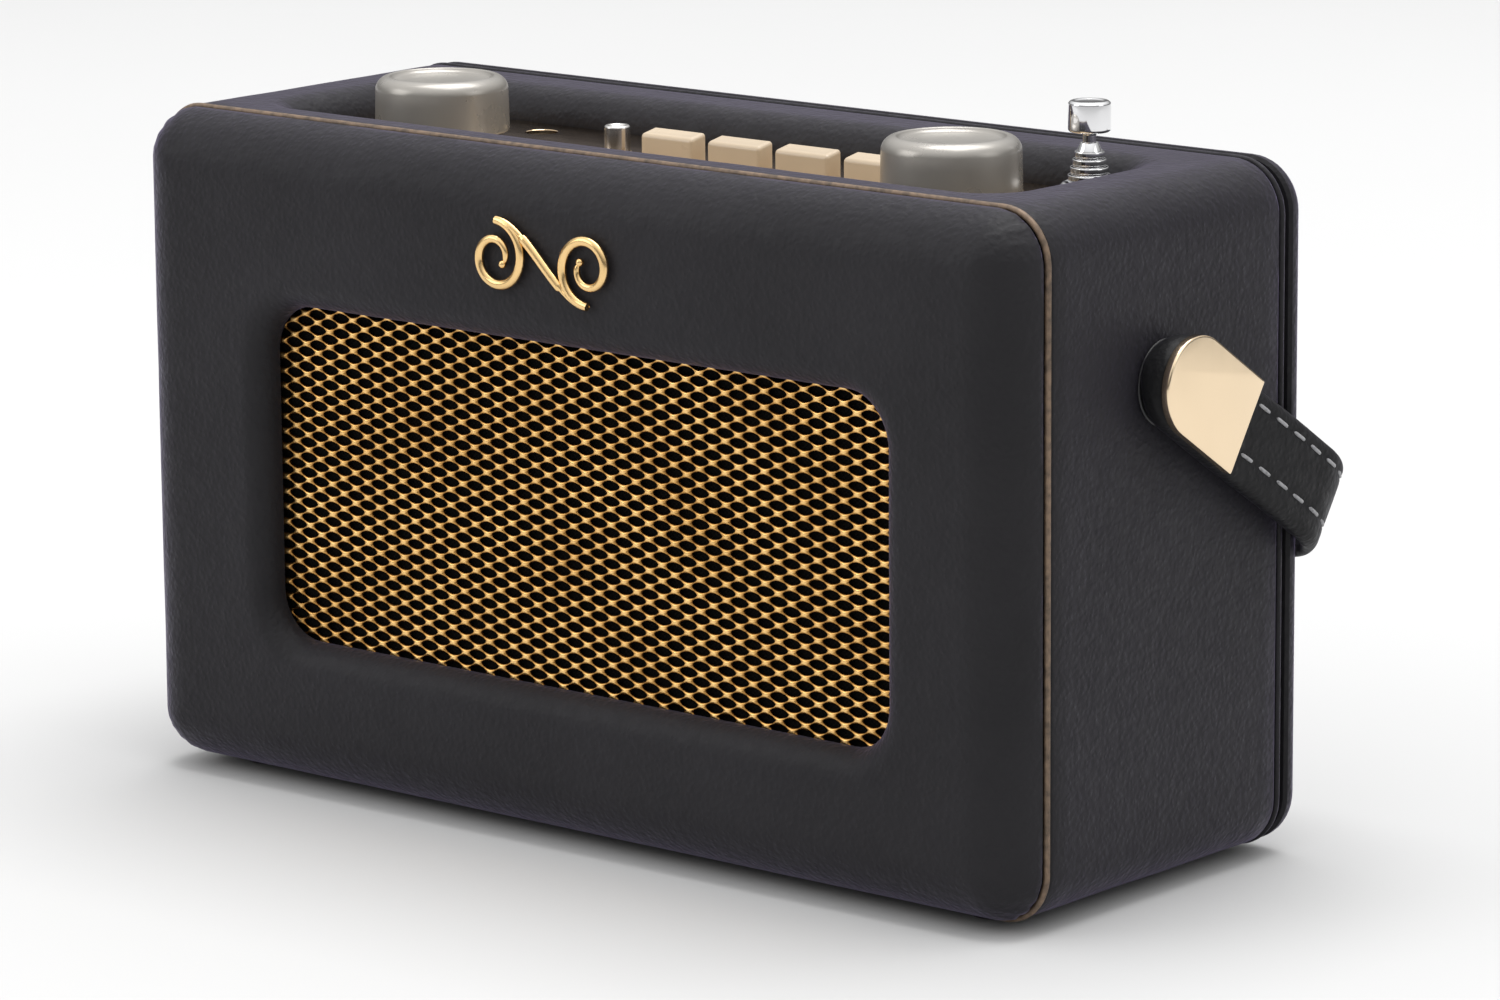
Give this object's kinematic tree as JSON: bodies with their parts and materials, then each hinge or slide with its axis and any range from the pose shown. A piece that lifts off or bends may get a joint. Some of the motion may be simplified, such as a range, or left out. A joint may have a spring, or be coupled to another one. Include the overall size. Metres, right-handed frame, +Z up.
{
  "type": "leathercloth portable radio",
  "caption": "Compact table-top portable radio: padded leathercloth case, gold mesh grille, top control well, telescopic aerial and a leather carrying strap on side pivots.",
  "frame": {"origin": "on the surface that the feet stand on, under the centre of the radio's whole box, with the handle lying behind the case", "axes": "+X to the right of someone facing the front, -Y out of the front, +Z up"},
  "size_m": [0.2204, 0.0962, 0.1343],
  "materials": {
    "leathercloth": "embossed grain, satin",
    "strap_leather": "fine grain, satin, pale stitching",
    "wood": "black-stained fibreboard",
    "gold_grille": "gold lacquered expanded metal",
    "acoustic_cloth": "matt black",
    "badge_brass": "polished",
    "gold_piping": "dull gold welt",
    "panel_brass": "lightly brushed",
    "black_plastic": "moulded, fine texture",
    "circuit_board": "solder mask",
    "button_chrome": "satin",
    "ivory_plastic": "moulded, soft gloss",
    "knob_plastic": "moulded, satin",
    "steel": "plain",
    "chrome": "polished",
    "end_plate_gold": "polished pale gold plate",
    "cone_paper": "pressed paper",
    "cell_jacket": "printed film, left plain",
    "rubber": "moulded"
  },
  "bodies": {
    "cabinet": {"cabinet_cover": "leathercloth", "front_cover": "leathercloth", "back_cover": "leathercloth", "piping_rear": "leathercloth", "cabinet_carcass": "wood", "front_frame": "wood", "back_board": "wood", "baffle_board": "wood", "grille": "gold_grille", "grille_cloth": "acoustic_cloth", "badge": "badge_brass", "piping_front": "gold_piping", "control_panel": "panel_brass", "control_tray": "black_plastic", "battery_holder": "black_plastic", "dc_socket": "black_plastic", "aux_socket": "black_plastic", "handle_boss_right": "black_plastic", "handle_boss_left": "black_plastic", "control_board": "circuit_board", "main_board": "circuit_board", "tuning_encoder": "steel", "volume_encoder": "steel", "headphone_jack": "steel", "speaker_basket": "steel", "speaker_magnet": "steel", "back_screw_1": "steel", "back_screw_2": "steel", "back_screw_3": "steel", "back_screw_4": "steel", "aerial_bush": "chrome", "speaker_cone": "cone_paper", "cell_1": "cell_jacket", "cell_2": "cell_jacket", "cell_3": "cell_jacket", "cell_4": "cell_jacket", "foot_1": "rubber", "foot_2": "rubber", "foot_3": "rubber", "foot_4": "rubber"},
    "handle": {"handle_strap": "strap_leather", "end_plate_right": "end_plate_gold", "end_plate_left": "end_plate_gold"},
    "tuning_plunger": {"tuning_plunger": "steel"},
    "tuning_knob": {"tuning_shaft": "steel", "tuning_knob": "knob_plastic"},
    "volume_knob": {"volume_shaft": "steel", "volume_knob": "knob_plastic"},
    "standby_button": {"standby_button": "button_chrome"},
    "preset_button_1": {"preset_button_1": "ivory_plastic"},
    "preset_button_2": {"preset_button_2": "ivory_plastic"},
    "preset_button_3": {"preset_button_3": "ivory_plastic"},
    "preset_button_4": {"preset_button_4": "ivory_plastic"},
    "aerial_tube": {"aerial_tube": "chrome"},
    "aerial_section_1": {"aerial_section_1": "chrome"},
    "aerial_section_2": {"aerial_section_2": "chrome"},
    "aerial_section_3": {"aerial_section_3": "chrome"},
    "aerial_section_4": {"aerial_section_4": "chrome"},
    "aerial_tip": {"aerial_tip": "chrome"},
    "battery_door": {"battery_door": "black_plastic"}
  },
  "joints": [
    {"name": "handle_swing", "type": "hinge", "parent": "cabinet", "child": "handle", "pos_m": [0, -0.00489, 0.0904], "axis": [1, 0, 0], "range_deg": [0, 246]},
    {"name": "tuning_push", "type": "slide", "parent": "cabinet", "child": "tuning_plunger", "axis": [0, 0, -1], "range_m": [0, 0.0007], "stiffness_N_per_m": 900, "springref_m": -0.0006},
    {"name": "tuning_turn", "type": "hinge", "parent": "tuning_plunger", "child": "tuning_knob", "pos_m": [-0.05945, -0.00799, 0.1176], "axis": [0, 0, 1], "continuous": true},
    {"name": "volume_turn", "type": "hinge", "parent": "cabinet", "child": "volume_knob", "pos_m": [0.05945, -0.00799, 0.1176], "axis": [0, 0, 1], "continuous": true},
    {"name": "standby_press", "type": "slide", "parent": "cabinet", "child": "standby_button", "axis": [0, 0, -1], "range_m": [0, 0.001], "stiffness_N_per_m": 400, "springref_m": -0.0006},
    {"name": "preset_1_press", "type": "slide", "parent": "cabinet", "child": "preset_button_1", "axis": [0, 0, -1], "range_m": [0, 0.001], "stiffness_N_per_m": 400, "springref_m": -0.0006},
    {"name": "preset_2_press", "type": "slide", "parent": "cabinet", "child": "preset_button_2", "axis": [0, 0, -1], "range_m": [0, 0.001], "stiffness_N_per_m": 400, "springref_m": -0.0006},
    {"name": "preset_3_press", "type": "slide", "parent": "cabinet", "child": "preset_button_3", "axis": [0, 0, -1], "range_m": [0, 0.001], "stiffness_N_per_m": 400, "springref_m": -0.0006},
    {"name": "preset_4_press", "type": "slide", "parent": "cabinet", "child": "preset_button_4", "axis": [0, 0, -1], "range_m": [0, 0.001], "stiffness_N_per_m": 400, "springref_m": -0.0006},
    {"name": "aerial_turn", "type": "hinge", "parent": "cabinet", "child": "aerial_tube", "pos_m": [0.0761, 0.00911, 0.1206], "axis": [0, 0, 1], "continuous": true},
    {"name": "section_1_draw", "type": "slide", "parent": "aerial_tube", "child": "aerial_section_1", "axis": [0, 0, 1], "range_m": [0, 0.08]},
    {"name": "section_2_draw", "type": "slide", "parent": "aerial_section_1", "child": "aerial_section_2", "axis": [0, 0, 1], "range_m": [0, 0.08]},
    {"name": "section_3_draw", "type": "slide", "parent": "aerial_section_2", "child": "aerial_section_3", "axis": [0, 0, 1], "range_m": [0, 0.08]},
    {"name": "section_4_draw", "type": "slide", "parent": "aerial_section_3", "child": "aerial_section_4", "axis": [0, 0, 1], "range_m": [0, 0.08]},
    {"name": "tip_draw", "type": "slide", "parent": "aerial_section_4", "child": "aerial_tip", "axis": [0, 0, 1], "range_m": [0, 0.08]},
    {"name": "battery_door_swing", "type": "hinge", "parent": "cabinet", "child": "battery_door", "pos_m": [-0.022, 0.03491, 0.0141], "axis": [-1, 0, 0], "range_deg": [0, 95]}
  ]
}
